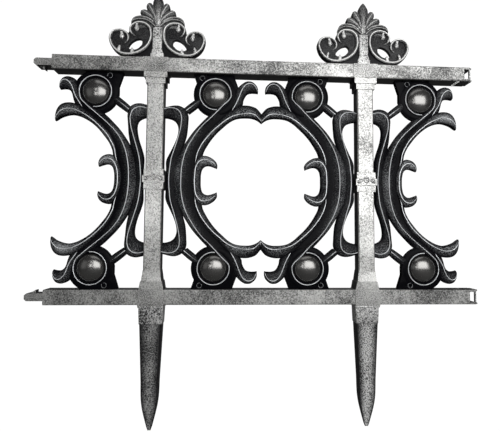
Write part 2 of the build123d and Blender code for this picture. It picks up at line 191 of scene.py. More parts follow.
@dataclass(frozen=True)
class Finish:
    """A painted plastic: black under a rubbed metallic coat."""

    name: str
    dark: Colour
    silver: Colour
    coverage: float
    metallic: float
    dark_rough: float = 0.38
    silver_rough: float = 0.34
    softness: float = 0.2
    grain_scale: float = 620.0
    blotch_scale: float = 20.0
    blotch_amount: float = 0.35
    dark_metallic: float = 0.0
    shine: float = 0.4
    bump: float = 0.25
    grain_depth: float = 0.0004
    grain_gloss: float = 0.2
    facing_low: float = 0.45
    facing_high: float = 0.7

    def start(self) -> tuple[bpy.types.Material, Shader, bpy.types.Node, bpy.types.Node]:
        """Makes the material with its shader and paint group.

        Returns:
            The material, its node helper, the shader node and the paint group node.
        """
        material = bpy.data.materials.new(self.name)
        material.use_nodes = True
        kit = Shader(material.node_tree)
        shader = material.node_tree.nodes["Principled BSDF"]
        kit.feed(shader, Specular_IOR_Level=self.shine)
        paint = kit.add("ShaderNodeGroup", node_tree=bpy.data.node_groups["rubbed_paint"])
        kit.feed(paint, Coverage=self.coverage, Softness=self.softness, Grain_Scale=self.grain_scale,
                 Blotch_Scale=self.blotch_scale, Blotch_Amount=self.blotch_amount)
        return material, kit, shader, paint

    def dress(self, kit: Shader, shader: bpy.types.Node, mask: object, grain: object) -> None:
        """Joins colour, metal, gloss and bump to the shader.

        Args:
            kit: The node helper.
            shader: The shader node.
            mask: Where the metallic coat lies.
            grain: The fine grain, for gloss and bump.
        """
        rough = kit.maths("ADD", kit.ramp(mask, 0.0, 1.0, self.dark_rough, self.silver_rough),
                          kit.maths("MULTIPLY", kit.maths("SUBTRACT", grain, 0.5), self.grain_gloss))
        bump = kit.add("ShaderNodeBump")
        kit.feed(bump, Strength=self.bump, Distance=self.grain_depth, Height=grain)
        kit.feed(shader, Base_Color=kit.mix(mask, self.dark, self.silver),
                 Metallic=kit.ramp(mask, 0.0, 1.0, self.dark_metallic, self.metallic), Roughness=rough,
                 Normal=bump.outputs["Normal"])

    def flat_faces(self) -> bpy.types.Material:
        """Silver on the faces that look to the front or back, black on the sides.

        Returns:
            The material.
        """
        material, kit, shader, paint = self.start()
        normal = kit.add("ShaderNodeNewGeometry").outputs["Normal"]
        split = kit.add("ShaderNodeSeparateXYZ")
        kit.join(normal, split.inputs[0])
        facing = kit.ramp(kit.maths("ABSOLUTE", split.outputs["Y"]), self.facing_low, self.facing_high)
        mask = kit.maths("MULTIPLY", paint.outputs["Mask"], facing)
        self.dress(kit, shader, mask, paint.outputs["Grain"])
        return material

    def raised_lines(self) -> bpy.types.Material:
        """Silver on the raised lines and thin rubbed silver on the rounded leaves; on the leaves and along the S
        ridges that rubbed silver is partly painted sheen.

        Returns:
            The material.
        """
        material, kit, shader, paint = self.start()
        line = kit.add("ShaderNodeAttribute", attribute_name="line").outputs["Fac"]
        rub_and_sheen = kit.add("ShaderNodeAttribute", attribute_name="rub_and_sheen").outputs["Fac"]
        uneven = kit.maths("MULTIPLY", kit.maths("SUBTRACT", paint.outputs["Grain"], 0.5), 0.5)
        bright = kit.ramp(kit.maths("ADD", line, uneven), 0.35, 0.8)
        # Rubbed silver from the attribute: real dry-brushed silver, and painted sheen along the S ridges and on the
        # leaves.
        soft = kit.maths("MULTIPLY", paint.outputs["Mask"], rub_and_sheen)
        mask = kit.maths("MAXIMUM", bright, soft)
        self.dress(kit, shader, mask, paint.outputs["Grain"])
        return material


# Mesh helpers


def select_nothing() -> None:
    """Leaves every object unselected."""
    bpy.ops.object.select_all(action="DESELECT")


def make_active(piece: bpy.types.Object) -> None:
    """Selects one object alone and makes it active."""
    select_nothing()
    piece.select_set(True)
    bpy.context.view_layer.objects.active = piece


def finish_piece(piece: bpy.types.Object, finish: bpy.types.Material, slot: Slot, *nodes: str) -> None:
    """Gives a piece its material and ties it to the frame.

    Args:
        piece: The object.
        finish: Its material.
        slot: The record's slot that it follows; it is not used.
        nodes: The nodes that it stands for.
    """
    piece.data.materials.clear()
    piece.data.materials.append(finish)
    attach(piece, BODY)
    if nodes:
        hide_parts(*nodes)


def smooth_rows(rows: list[Row], step: float) -> np.ndarray:
    """Runs a smooth curve through rows of numbers, evenly along their second point.

    Args:
        rows: Stations of a band; numbers 2 and 3 are the point that sets the spacing.
        step: Distance between the rows that come back, in millimetres.

    Returns:
        The finer rows.
    """
    data = np.array(rows, dtype=float)
    gaps = np.linalg.norm(np.diff(data[:, 2:4], axis=0), axis=1)
    gaps = np.maximum(gaps, 1.0)
    place = np.concatenate([[0.0], np.cumsum(gaps)])
    slope = np.empty_like(data)
    inner = np.diff(data, axis=0) / gaps[:, None]
    slope[0], slope[-1] = inner[0], inner[-1]
    weight = (gaps[1:] / (gaps[:-1] + gaps[1:]))[:, None]
    slope[1:-1] = inner[:-1] * weight + inner[1:] * (1 - weight)
    count = max(2, int(round(place[-1] / step)) + 1)
    out = []
    for s in np.linspace(0.0, place[-1], count):
        k = min(int(np.searchsorted(place, s, side="right")) - 1, len(gaps) - 1)
        h = gaps[k]
        t = (s - place[k]) / h
        out.append((2 * t**3 - 3 * t**2 + 1) * data[k] + (t**3 - 2 * t**2 + t) * h * slope[k]
                   + (-2 * t**3 + 3 * t**2) * data[k + 1] + (t**3 - t**2) * h * slope[k + 1])
    return np.array(out)


def smooth_line(points: list[Point], step: float) -> list[Point]:
    """Runs a smooth curve through points and returns it in steps of a length."""
    rows = smooth_rows([(a, b, a, b) for a, b in points], step)
    return [(float(row[0]), float(row[1])) for row in rows]


def circle(centre: Point, radius: float, step: int = 20) -> list[Point]:
    """Points round a circle, the first one again at the end."""
    return [(centre[0] + radius * math.cos(math.radians(a)), centre[1] + radius * math.sin(math.radians(a)))
            for a in range(0, 361, step)]


def beside_line(points: list[Point], left: list[float], right: list[float], step: float, line: list[float],
                rub_and_sheen: float) -> list[Row]:
    """Makes the stations of a band that follows a line.

    Args:
        points: Points of the raised line.
        left: Reach to the left of the line at its start, its middle and its end.
        right: The same to the right.
        step: Spacing of the stations.
        line: Brightness of the raised line at its start, its middle and its end.
        rub_and_sheen: Strength of the rubbed silver on the flanks.

    Returns:
        The stations.
    """
    path = np.array(smooth_line(points, step))
    ahead = np.gradient(path, axis=0)
    ahead /= np.linalg.norm(ahead, axis=1)[:, None]
    aside = np.stack([-ahead[:, 1], ahead[:, 0]], axis=1)
    place = np.linspace(0.0, 1.0, len(path))
    share = [0.0, 0.04, 0.5, 0.96, 1.0]
    rows = []
    for k, s in enumerate(place):
        reach_left, reach_right, glow = (float(np.interp(s, share, [v[0] * 0.3, v[0], v[1], v[2], v[2] * 0.3]))
                                         for v in (left, right, line))
        low = path[k] + aside[k] * reach_left
        high = path[k] - aside[k] * reach_right
        scale = float(np.interp(s, share, [0.7, 1.0, 1.0, 1.0, 0.7]))
        rows.append((low[0], low[1], path[k][0], path[k][1], high[0], high[1], scale, glow, rub_and_sheen))
    return rows


@dataclass(frozen=True)
class Section:
    """How high a band stands from its edges to its raised line, in millimetres, and how full its flanks are."""

    left_edge: float
    shoulder: float
    right_edge: float
    bead_rise: float
    bead_half: float = 0.85
    left_full: float = 1.5
    right_full: float = 1.6
    flank: tuple[float, ...] = (0.0, 0.04, 0.12, 0.24, 0.38, 0.54, 0.7, 0.86)

    def rise(self, x: float, full: float) -> float:
        """Height share at a share x of the way from an edge to the raised line."""
        return (1.0 - (1.0 - x) ** full) ** (1.0 / full)

    def points(self, row: np.ndarray) -> list[tuple[float, float, float, float, float]]:
        """Cross points of one station.

        Args:
            row: Left, crest and right points, height scale, line strength, and strength of the rubbed silver and
                painted sheen.

        Returns:
            Along, up, height, line, and rubbed silver and painted sheen for each point from the left edge to the right
            one.
        """
        left, crest, right = row[0:2], row[2:4], row[4:6]
        scale, line, rub_and_sheen = row[6:9]
        out = []
        for edge, low, full, flip in ((left, self.left_edge, self.left_full, False),
                                      (right, self.right_edge, self.right_full, True)):
            reach = np.linalg.norm(crest - edge)
            foot = crest if reach < 1e-6 else crest + (edge - crest) * min(self.bead_half / reach, 0.45)
            part = []
            for x in self.flank + (1.0,):
                share = self.rise(x, full)
                point = edge + (foot - edge) * x
                part.append((point[0], point[1], (low + (self.shoulder - low) * share) * scale, 0.0, rub_and_sheen * share**2))
            half = (foot + crest) / 2
            slope = (*half, (self.shoulder + 0.8 * self.bead_rise * line) * scale, 0.75 * line, rub_and_sheen)
            if flip:
                out.append((*crest, (self.shoulder + self.bead_rise * line) * scale, line, rub_and_sheen))
                out.append(slope)
                out.extend(reversed(part))
            else:
                out.extend(part)
                out.append(slope)
        return out


class Relief:
    """Collects closed bands and plates of one flat casting, drawn on its own plane."""

    def __init__(self) -> None:
        """Starts with nothing drawn."""
        self.points: list[tuple[float, float, float]] = []
        self.faces: list[tuple[int, ...]] = []
        self.line: list[float] = []
        self.rub_and_sheen: list[float] = []

    def loop(self, ring: list[tuple[float, float, float, float, float]]) -> list[int]:
        """Adds the front and the mirrored back of a station and returns its point numbers."""
        start = len(self.points)
        for along, up, height, line, rub_and_sheen in ring + [(a, b, -c, d, e) for a, b, c, d, e in reversed(ring)]:
            self.points.append((along, up, height))
            self.line.append(line)
            self.rub_and_sheen.append(rub_and_sheen)
        return list(range(start, len(self.points)))

    def band(self, rows: list[Row], section: Section, step: float = 2.0, closed: bool = False) -> None:
        """Adds a band through its stations.

        Args:
            rows: Left, crest and right points with height scale, line, and rubbed silver and painted sheen.
            section: The band's cross section.
            step: Spacing of the stations that are built.
            closed: Whether the last station meets the first.
        """
        fine = smooth_rows(rows, step)
        if closed:
            fine = fine[:-1]
        rings = [self.loop(section.points(row)) for row in fine]
        size = len(rings[0])
        pairs = list(zip(rings, rings[1:] + ([rings[0]] if closed else [])))
        for first, second in pairs:
            for k in range(size):
                n = (k + 1) % size
                self.faces.append((first[k], first[n], second[n], second[k]))
        if not closed:
            self.faces.append(tuple(reversed(rings[0])))
            self.faces.append(tuple(rings[-1]))

    def plate(self, outlines: list[list[Point]], level: float, round_over: float = 0.5, rub_and_sheen: float = 0.0) -> None:
        """Adds a flat plate with softened edges, cut from a filled outline.

        Args:
            outlines: The outline, then any holes, each as its corners in order.
            level: Half its thickness.
            round_over: Radius of its edges.
            rub_and_sheen: Strength of the rubbed silver on it.
        """
        curve = bpy.data.curves.new("plate_outline", "CURVE")
        curve.dimensions = "2D"
        curve.fill_mode = "BOTH"
        curve.extrude = level - round_over
        curve.bevel_depth = round_over
        curve.bevel_resolution = 1
        curve.offset = -round_over
        for outline in outlines:
            spline = curve.splines.new("POLY")
            spline.points.add(len(outline) - 1)
            for point, (along, up) in zip(spline.points, outline):
                point.co = (along, up, 0.0, 1.0)
            spline.use_cyclic_u = True
        cut = bpy.data.objects.new("plate_outline", curve)
        bpy.context.scene.collection.objects.link(cut)
        make_active(cut)
        bpy.ops.object.convert(target="MESH")
        cut = bpy.context.active_object
        start = len(self.points)
        for vertex in cut.data.vertices:
            self.points.append(tuple(vertex.co))
            self.line.append(0.0)
            self.rub_and_sheen.append(rub_and_sheen)
        for polygon in cut.data.polygons:
            self.faces.append(tuple(start + k for k in polygon.vertices))
        mesh = cut.data
        bpy.data.objects.remove(cut)
        bpy.data.meshes.remove(mesh)

    def build(self, name: str, origin: Point, side: Side, stretch: Point = (1.0, 1.0)) -> bpy.types.Object:
        """Turns what was drawn into an object in the frame.

        Args:
            name: The object's name.
            origin: Where the drawing's zero point lies, along and up.
            side: Which way the drawing runs.
            stretch: How much the drawing is stretched along and up.

        Returns:
            The object, closed and with its normals outwards.
        """
        mesh = bpy.data.meshes.new(name)
        points = [((origin[0] + side.value * a * stretch[0]) * MM, -h * MM, (origin[1] + u * stretch[1]) * MM)
                  for a, u, h in self.points]
        mesh.from_pydata(points, [], self.faces)
        for label, values in (("line", self.line), ("rub_and_sheen", self.rub_and_sheen)):
            layer = mesh.attributes.new(label, "FLOAT", "POINT")
            layer.data.foreach_set("value", values)
        piece = bpy.data.objects.new(name, mesh)
        bpy.context.scene.collection.objects.link(piece)
        make_active(piece)
        bpy.ops.object.mode_set(mode="EDIT")
        bpy.ops.mesh.select_all(action="SELECT")
        bpy.ops.mesh.remove_doubles(threshold=WELD)
        bpy.ops.mesh.dissolve_degenerate(threshold=WELD)
        bpy.ops.mesh.normals_make_consistent(inside=False)
        bpy.ops.object.mode_set(mode="OBJECT")
        bpy.ops.object.shade_smooth_by_angle(angle=SMOOTH_UNDER)
        return piece


def mirrored(rows: list[Row]) -> list[Row]:
    """Continues a band that starts at the middle height down to its mirrored end."""
    return turned_down(list(reversed(rows[1:]))) + rows


def turned_down(rows: list[Row]) -> list[Row]:
    """The same band below the middle height."""
    return [(a, -b, c, -d, e, -f, *rest) for a, b, c, d, e, f, *rest in rows]


@dataclass(frozen=True)
class Layout:
    """Where the frame's posts, rails and bosses stand, in millimetres."""

    post_x: float
    middle: float
    half_opening: float
    rail_top: float
    floor: float
    drawn_half: float = 154.0

    @classmethod
    def read(cls) -> "Layout":
        """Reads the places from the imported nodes."""
        low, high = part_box("right_post")
        rail_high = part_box("top_rail")[1]
        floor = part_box("right_stake")[0]
        return cls((low.x + high.x) / 2 / MM, (low.z + high.z) / 2 / MM, (high.z - low.z) / 2 / MM,
                   rail_high.z / MM, floor.z / MM)

    def stretch(self) -> Point:
        """How much a drawn half bay is stretched along and up."""
        return (self.post_x / self.drawn_half, self.half_opening / self.drawn_half)


@dataclass(frozen=True)
class Post:
    """One post of the frame, for the pieces that stand by it."""

    layout: Layout
    side: Side

    def name(self) -> str:
        """The word that the names of its nodes hold."""
        return self.side.name.lower()

    def along(self) -> float:
        """Where it stands along the panel, in millimetres."""
        return self.side.value * self.layout.post_x


def paired(inner: list[Row], outer: list[Row], shared: list[Row]) -> dict[bool, list[Row]]:
    """Completes the stations of a band whose two kinds differ in their points alone.

    Args:
        inner: Left, crest and right points in a bay where two scrolls join.
        outer: The same in a bay that ends free.
        shared: Height scale, line, and rubbed silver and painted sheen of each station in both.

    Returns:
        The full stations, by whether the scrolls join.
    """
    return {joined: [(*points, *rest) for points, rest in zip(bay, shared)]
            for joined, bay in ((True, inner), (False, outer))}


# Stations of a scroll's bands, by whether it joins its neighbour in the middle of the bay. Each has its left, crest
# and right points from the post and the middle height, then height scale, line, and rubbed silver that is partly
# painted sheen.

# The long S from the middle height to the ring.
SWEEP = paired(
    [(23.5, 0, 38, 0, 56.4, 0), (24.6, 15, 38.5, 15, 56.9, 13), (29.5, 30, 41.2, 31, 58.8, 27.5),
     (37.6, 45, 46.2, 46, 62.5, 43), (46.2, 58.8, 53.8, 60, 69, 56.5), (54, 70.3, 61, 70.7, 75.8, 67),
     (63.2, 81, 69.6, 81, 84, 77), (74.2, 92.5, 80, 90.8, 92.5, 86), (86.5, 103.4, 90.2, 101.4, 100.5, 95.5),
     (97, 113.2, 99.3, 111, 108.5, 104)],
    [(22.5, 0, 36, 0, 50.5, 0), (23.6, 15, 36.6, 15, 51, 13), (28.2, 30, 38.9, 31, 53, 27.5),
     (34.6, 46, 43.2, 46, 57.5, 43), (42.6, 59.8, 50.3, 60, 63.4, 56.5), (50.6, 70.9, 58.1, 70, 70, 66.5),
     (61, 82.3, 68.3, 80, 79, 76), (73.5, 94, 80, 90, 89.5, 85.5), (87.4, 102, 90.3, 98.4, 99, 93.5),
     (95.8, 107.4, 98, 105, 106.5, 100.5)],
    # The heavier 0.35 on the six stations about the middle height is painted sheen along the S ridge; the lower values
    # are rubbed silver.
    [(1, 1, rub_and_sheen) for rub_and_sheen in (*[0.35] * 6, 0.12, 0.15, 0.2, 0.2)])

# The big C and its leaf, which meets its neighbour's or ends in a point. The rubbed silver on its rounded leaf is
# partly painted sheen.
BIG_LEAF = {
    True: [
        (57.3, 21, 57.8, 21.5, 60.5, 21, 0.7, 0.2, 0), (57.6, 29, 58.8, 30, 66.6, 27, 0.85, 0.9, 0),
        (60, 43, 62.3, 41.8, 69.3, 40, 0.95, 1, 0.1), (64.6, 55.5, 68, 52.8, 74.6, 50.5, 1, 1, 0.2),
        (71.8, 66.5, 75.6, 63.2, 81.5, 61, 1, 1, 0.3), (80.5, 76.5, 84.4, 72.8, 89.5, 70.5, 1, 1, 0.3),
        (90, 86, 93.6, 80.8, 98, 78.5, 1, 1, 0.3), (100.5, 96.5, 103.5, 88.9, 106.5, 85.8, 1, 0.9, 0.4),
        (109.5, 104.8, 112.8, 93.8, 115, 90.6, 1.03, 0.75, 0.5),
        (118, 109, 121.5, 96.4, 123, 92.4, 1.06, 0.65, 0.7),
        (127.8, 110.7, 130.3, 97.8, 131, 92.9, 1.08, 0.65, 0.8),
        (137.6, 110.1, 138.5, 97.8, 138.2, 92.6, 1.06, 0.8, 0.7),
        (146.6, 106.8, 145.6, 95.3, 145.2, 90.7, 1, 1, 0.45),
        (151.6, 101.6, 150.3, 90.8, 150.4, 87.8, 0.92, 1, 0.3), (154, 98.6, 153.4, 87.4, 154, 84.8, 0.85, 0.9, 0.2)],
    False: [
        (51.2, 21, 51.7, 21.5, 54.6, 21, 0.7, 0.2, 0), (53.2, 29.5, 54.6, 30, 58.6, 28, 0.85, 0.9, 0),
        (55.3, 44, 57.2, 43.5, 61.3, 42, 0.95, 1, 0.1), (59, 55.5, 61.9, 53.5, 66, 52, 1, 1, 0.2),
        (65.3, 66.5, 68.5, 63.8, 73.2, 61.8, 1, 1, 0.3), (73.6, 76.5, 77, 73, 81.5, 71.5, 1, 1, 0.3),
        (83.3, 85.7, 86.7, 81.8, 91, 79.8, 1, 1, 0.3), (94.4, 95.5, 97, 89.4, 99.4, 85.2, 1, 0.9, 0.4),
        (104.5, 103.5, 107, 94.8, 107.8, 89.2, 1.03, 0.75, 0.5),
        (114.5, 107.4, 115.3, 97.9, 115.8, 91.2, 1.06, 0.65, 0.7),
        (124, 108.7, 123.7, 98.8, 123, 91, 1.08, 0.7, 0.8), (132.8, 107, 131.5, 97, 130.2, 89, 1.04, 0.85, 0.7),
        (138.9, 101.9, 137, 92.6, 136, 86.4, 0.98, 1, 0.5), (142.3, 94.5, 140.4, 88, 139.6, 83.6, 0.82, 1, 0.3),
        (143.3, 88, 142.5, 84.6, 141.4, 82.2, 0.55, 0.8, 0.2), (142.4, 81.8, 142.3, 81.7, 142.1, 81.7, 0.3, 0.4, 0)],
}

# The small curled leaf between the ring and the middle of the bay. The rubbed silver on it is partly painted sheen.
SMALL_LEAF = {
    True: [
        (108.5, 101.5, 110.5, 102.5, 115.5, 102, 0.8, 0.6, 0),
        (110, 109.5, 114.8, 109.3, 121.5, 107.5, 0.95, 1, 0.1),
        (112.5, 118.5, 118.2, 116, 126.3, 112.5, 1, 1, 0.15), (114.5, 127, 121.1, 123.2, 127.4, 119, 1, 1, 0.15),
        (116.8, 133.8, 123.4, 129.4, 129.8, 124.4, 1, 1, 0.2), (120.8, 139.2, 126.2, 135, 131.6, 127, 1, 1, 0.3),
        (126.5, 144.2, 130, 139.8, 133.4, 128.5, 1, 1, 0.35), (132.3, 147, 134.4, 142.2, 136.6, 129.6, 1, 1, 0.35),
        (138.6, 146.9, 138.6, 142.3, 140, 130, 0.97, 1, 0.3), (144, 143.6, 143, 140, 143.3, 129.9, 0.9, 1, 0.25),
        (147.9, 138.5, 146.2, 135.2, 146.2, 129.7, 0.8, 0.9, 0.2),
        (148.9, 133, 147.8, 131.2, 147.4, 129.4, 0.6, 0.6, 0.1),
        (148.7, 129.5, 148.6, 129.3, 148.4, 129.2, 0.35, 0.3, 0)],
    False: [
        (102.5, 101.5, 104.6, 102.8, 110, 102, 0.8, 0.6, 0), (104.5, 110.5, 109, 109.4, 115.6, 107.5, 0.95, 1, 0.1),
        (106, 119.5, 113.4, 116.2, 118.3, 114.5, 1, 1, 0.15),
        (107.5, 127.5, 116.4, 122.8, 119.8, 120.5, 1, 1, 0.15), (109.5, 134.5, 118.6, 129.4, 122, 125, 1, 1, 0.2),
        (113.5, 140.5, 121.2, 134.4, 124.6, 127.4, 1, 1, 0.3), (120, 145.2, 125, 138.6, 127.6, 128.6, 1, 1, 0.35),
        (126.8, 147, 129, 140.6, 130.3, 128.8, 1, 1, 0.35), (132.8, 145.6, 132.6, 139.9, 133, 128.6, 0.95, 1, 0.3),
        (136.6, 141.6, 135.4, 137, 135, 128.2, 0.88, 1, 0.25),
        (138.5, 135.8, 137.2, 133, 136.4, 127.8, 0.78, 0.9, 0.2),
        (138.4, 130.6, 137.8, 129.6, 136.9, 127.7, 0.55, 0.6, 0.1),
        (137.2, 127.6, 137, 127.4, 136.8, 127.3, 0.35, 0.3, 0)],
}

# The band beside the post, from the middle height up to the post.
LYRE = paired(
    [(15.8, 0, 20.7, 0, 30.5, 0), (15.8, 15, 21.8, 16, 31.5, 15), (16.3, 29, 23.8, 31, 34, 30),
     (22.4, 42, 27.4, 42.5, 38, 41.5), (28, 54, 31, 54.5, 41.6, 53), (31.2, 63, 33.8, 64.5, 44.8, 64.5),
     (32.6, 72, 35.9, 73.5, 46, 74.5), (31.6, 78.6, 37.2, 82.5, 46.6, 84), (28.6, 84, 37.2, 91.5, 46.7, 94),
     (24.5, 87, 34.4, 98.5, 43.4, 102.2), (19, 88.8, 28.5, 102.7, 35.5, 107.4), (15, 89.4, 20.5, 103.6, 26, 108.4),
     (12, 89.5, 12, 101.8, 12, 105)],
    [(15.8, 0, 19, 0, 29, 0), (15.8, 16, 20, 16, 30.3, 15), (15.8, 31.5, 21.9, 31, 32, 31),
     (18.8, 43, 25, 43, 34.4, 42), (22.8, 54.5, 28.5, 54.5, 36.6, 53.5), (25.6, 65.5, 32, 66, 38.8, 66),
     (26.6, 74.5, 34.6, 75.5, 39.8, 77.5), (25.8, 80.5, 35.9, 84, 40.5, 85.5), (23.5, 84.5, 35.4, 92.6, 40.9, 94),
     (20.2, 87, 32.4, 99.2, 38.4, 103.6), (16.5, 88.6, 26.5, 103.2, 32.4, 108.6), (14, 89.3, 19, 103.7, 23, 110.4),
     (12, 89.5, 12, 102, 12, 108)],
    [(1, 1, 0.08), (1, 1, 0.08), (1, 1, 0.08), (1, 1, 0.08), (1, 1, 0.1), (1, 1, 0.12), (1, 1, 0.14), (1, 1, 0.2),
     (1, 1, 0.3), (1, 1, 0.5), (1, 1, 0.5), (1, 1, 0.4), (1, 0.8, 0.2)])

# The hook inside the C.
HOOK = paired(
    [(53.5, 0, 57.4, 0, 66, 0), (54, 9, 57.8, 9.5, 66.2, 8.5), (55.5, 18.5, 59.2, 19, 68, 16),
     (58.2, 26.5, 62.6, 25.5, 71, 19.4), (62.5, 32, 67, 28.9, 74.3, 20.8), (67.5, 35, 72, 29.8, 77.8, 20.9),
     (74, 35.4, 77.2, 28.8, 81.2, 20.1), (81.2, 32.6, 81.8, 26.6, 84.4, 19), (87, 28, 85.6, 23.8, 87, 18),
     (90, 22.6, 88.2, 20.3, 88.3, 17.3), (89.5, 17.2, 89.3, 17.1, 89.1, 17)],
    [(46.5, 0, 51.5, 0, 57.2, 0), (47.2, 9, 51.9, 9, 57.6, 8.5), (49.5, 18.5, 54, 17.8, 59.6, 16.2),
     (53, 26.8, 57.6, 24.5, 62.8, 19.6), (57.5, 32.4, 62, 28.2, 66, 20.9), (63, 35.4, 66.8, 29.2, 69.3, 20.8),
     (69.2, 34.9, 71.2, 28.2, 72.4, 20), (75.2, 31.9, 74.8, 25.4, 75.4, 19), (79, 27, 77.5, 22.6, 77.6, 18.2),
     (80.3, 21.8, 78.9, 20, 78.8, 17.6), (79.4, 17.5, 79.3, 17.4, 79.2, 17.4)],
    [(1, 1, 0.3), (1, 1, 0.3), (1, 1, 0.3), (1, 1, 0.4), (1, 0.9, 0.6), (1.03, 0.8, 0.7), (1.03, 0.75, 0.7),
     (0.98, 0.75, 0.6), (0.88, 0.7, 0.5), (0.65, 0.5, 0.3), (0.35, 0.2, 0.1)])

# The short bar from the ring to the band beside the post.
STRUT = paired(
    [(40.5, 104.2, 44, 100.4, 48, 96.6), (50.5, 112.6, 53.5, 108, 56.8, 103.6), (62.5, 121, 64, 116, 66, 111)],
    [(35.5, 104.2, 38.3, 100.4, 41.5, 96.6), (45.5, 112.8, 48.4, 108.2, 51.3, 103.2),
     (56.5, 121, 58.6, 115.6, 61, 110.3)],
    [(1, 0.8, 0.3), (1, 0.6, 0.2), (1, 0.4, 0.1)])


@dataclass
class ScrollPanel:
    """The cast scrollwork of one half bay, drawn from its post and the middle height."""

    joined: bool
    ring_centre: Point = (86.0, 125.1)
    ring_radius: float = 32.0
    ring_crest: float = 25.0
    ring_line: float = 22.8
    dish_radius: float = 20.0
    gusset_level: float = 3.3
    web_level: float = 2.4
    eye: Point = (66.5, 148.8)
    eye_radius: float = 3.5
    eye_hole: float = 2.0
    eye_rim_half: float = 0.9
    sweep: Section = Section(1.6, 5.0, 2.6, 1.2, left_full=1.7, right_full=0.7)
    lyre: Section = Section(1.4, 4.8, 1.8, 1.2)
    hook: Section = Section(2.4, 5.0, 1.8, 0.9, left_full=1.8, right_full=1.9)
    leaf: Section = Section(2.4, 5.2, 2.2, 0.9, left_full=1.2, right_full=1.8)
    small: Section = Section(1.6, 5.0, 2.0, 1.1, left_full=1.6, right_full=1.5)
    ring: Section = Section(2.2, 4.3, 1.8, 0.0)
    strut: Section = Section(2.6, 4.4, 2.6, 0.6, bead_half=0.8)
    eye_rim: Section = Section(3.0, 3.7, 2.8, 0.7, bead_half=0.5)

    def around(self, angle: float, radius: float) -> Point:
        """A point of the ring at an angle in degrees."""
        turn = math.radians(angle)
        return (self.ring_centre[0] + radius * math.cos(turn), self.ring_centre[1] + radius * math.sin(turn))

    def sweep_rows(self) -> list[Row]:
        """Stations of the long S from the middle height into and round the ring."""
        entry = ((-25, 18.8), (-26, 20.9), (-25, 31)) if self.joined else ((-29, 20.4), (-31, 23.2), (-28, 31))
        low, crest, high = (self.around(*spot) for spot in entry)
        rows = SWEEP[self.joined] + [(*low, *crest, *high, 1, 1, 0.15)]
        for angle in range(-10, 285, 15):
            rows.append((*self.around(angle, self.dish_radius - 0.1), *self.around(angle, self.ring_line),
                         *self.around(angle, self.ring_radius), 1, 1, 0.05))
        return rows

    def gusset(self) -> list[Point]:
        """Outline of the foot that joins the ring to the rail."""
        rise = Layout.drawn_half
        if self.joined:
            return [(60.3, 122), (60.3, 132), (58.5, 141), (54, rise), (113, rise), (119.5, 137), (108, 118),
                    (90, 106), (68, 108)]
        return [(54, 122), (54, 134), (51, 143), (47.5, rise), (98, rise), (109.5, 136), (106, 118), (90, 106),
                (64, 108)]

    def fill(self) -> list[Point]:
        """Outline of the low web between the ring and the small leaf."""
        if self.joined:
            return [(102, 104), (104, 134), (119.5, 137), (124, 130), (122, 115), (116, 103)]
        return [(96, 103), (100, 134), (109.5, 137), (117, 128), (114.6, 112), (110, 102)]

    def draw_half(self, art: Relief, down: bool) -> None:
        """Draws all that is repeated above and below the middle height.

        Args:
            art: The relief that is drawn on.
            down: Whether this is the lower half.
        """
        flip = turned_down if down else list
        sign = -1.0 if down else 1.0
        ring = [(*inner, *crest, *outer, 1, 0, 0) for inner, crest, outer in zip(
            *(circle(self.ring_centre, radius, 15) for radius in (self.dish_radius - 0.2, self.ring_crest,
                                                                  self.ring_radius)))]
        art.band(flip(ring), self.ring, 2.5, closed=True)
        art.band(flip(BIG_LEAF[self.joined]), self.leaf)
        art.band(flip(SMALL_LEAF[self.joined]), self.small, 1.6)
        art.band(flip(STRUT[self.joined]), self.strut)
        hole = circle(self.eye, self.eye_hole)[:-1]
        foot, eye, web = ([(a, sign * b) for a, b in outline] for outline in (self.gusset(), hole, self.fill()))
        art.plate([foot, eye], self.gusset_level)
        art.plate([web], self.web_level)
        rim = [(*outer, *crest, *inner, 1, 0.6, 0) for outer, crest, inner in zip(
            *(circle(self.eye, self.eye_radius + wide) for wide in (self.eye_rim_half, 0.0, -self.eye_rim_half)))]
        art.band(flip(rim), self.eye_rim, 1.2, closed=True)

    def place(self, post: Post) -> str:
        """The words that name its post and its bay."""
        return f"{post.name()}_{'inner' if self.joined else 'outer'}"

    def build(self, post: Post, finish: bpy.types.Material) -> None:
        """Builds one half-bay scroll.

        Args:
            post: The post that it stands by.
            finish: Its material.
        """
        node = "scroll_" + self.place(post)
        art = Relief()
        art.band(mirrored(self.sweep_rows()), self.sweep)
        art.band(mirrored(LYRE[self.joined]), self.lyre)
        art.band(mirrored(HOOK[self.joined]), self.hook, 1.6)
        for down in (False, True):
            self.draw_half(art, down)
        side = Side(-post.side.value) if self.joined else post.side
        piece = art.build(node + "_casting", (post.along(), post.layout.middle), side, post.layout.stretch())
        finish_piece(piece, finish, Slot.SATIN, node)


